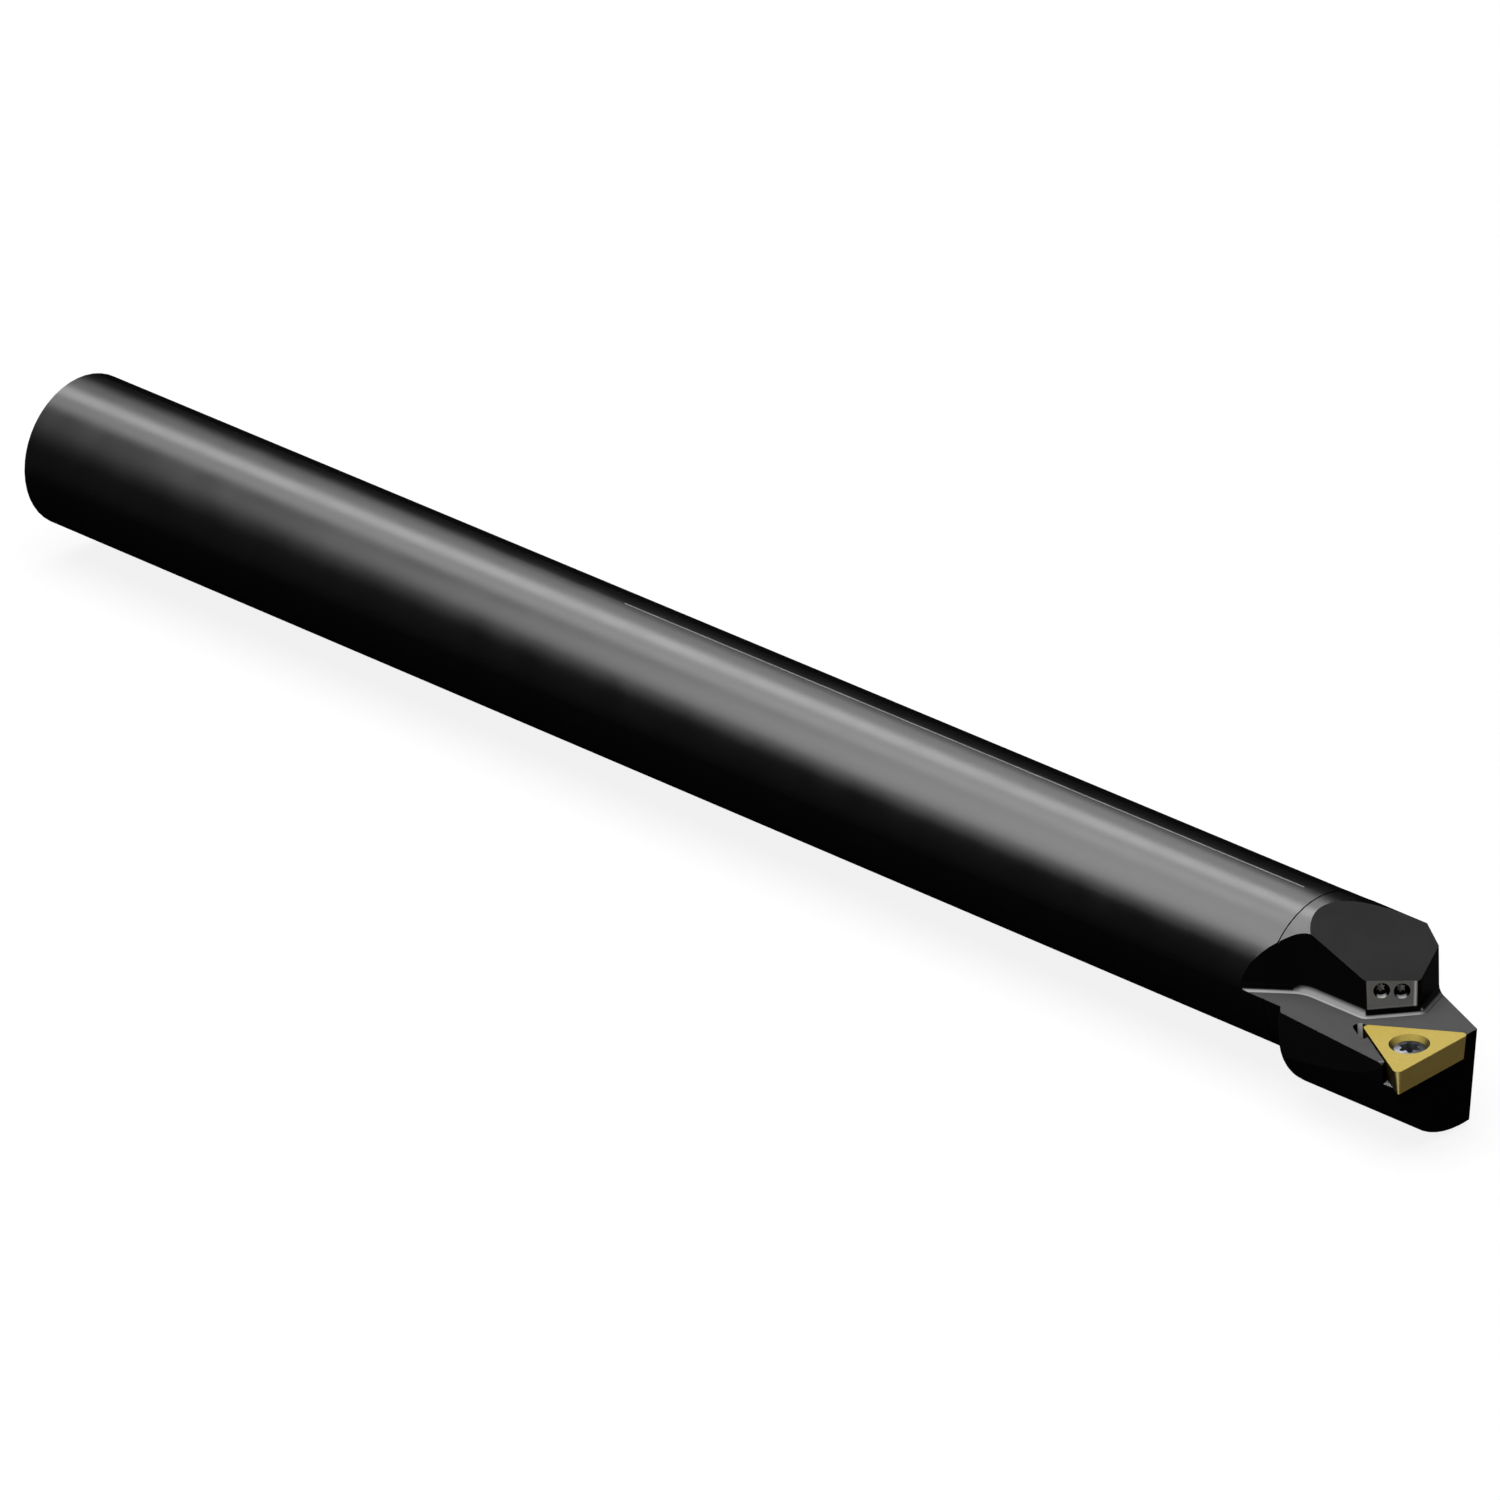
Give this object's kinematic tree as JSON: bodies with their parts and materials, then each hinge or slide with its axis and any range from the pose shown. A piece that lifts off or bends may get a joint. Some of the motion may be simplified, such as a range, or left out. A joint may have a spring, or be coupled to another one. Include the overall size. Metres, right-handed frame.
{
  "type": "boring bar",
  "caption": "Round-shank boring bar with an offset head, a screwed-on triangular insert, nozzles beside the chip pocket and a threaded coolant inlet at the rear.",
  "frame": {"origin": "on the bar axis at the rear end of the shank, 1 mm behind the named point of the shank mount", "axes": "+X along the bar axis from the rear end towards the cutting edge, +Z the way the rake face looks, cutting tip on the -Y side at z = 0"},
  "size_m": [0.3, 0.0296, 0.0284],
  "materials": {
    "black_steel": "black oxide, satin",
    "coated_carbide": "gold ceramic coating, satin",
    "screw_steel": "blued, satin",
    "nozzle_steel": "plain machined"
  },
  "bodies": {
    "root": {"bar": "black_steel", "insert": "coated_carbide", "insert_screw": "screw_steel", "rear_nozzle": "nozzle_steel", "front_nozzle": "nozzle_steel"}
  },
  "joints": []
}
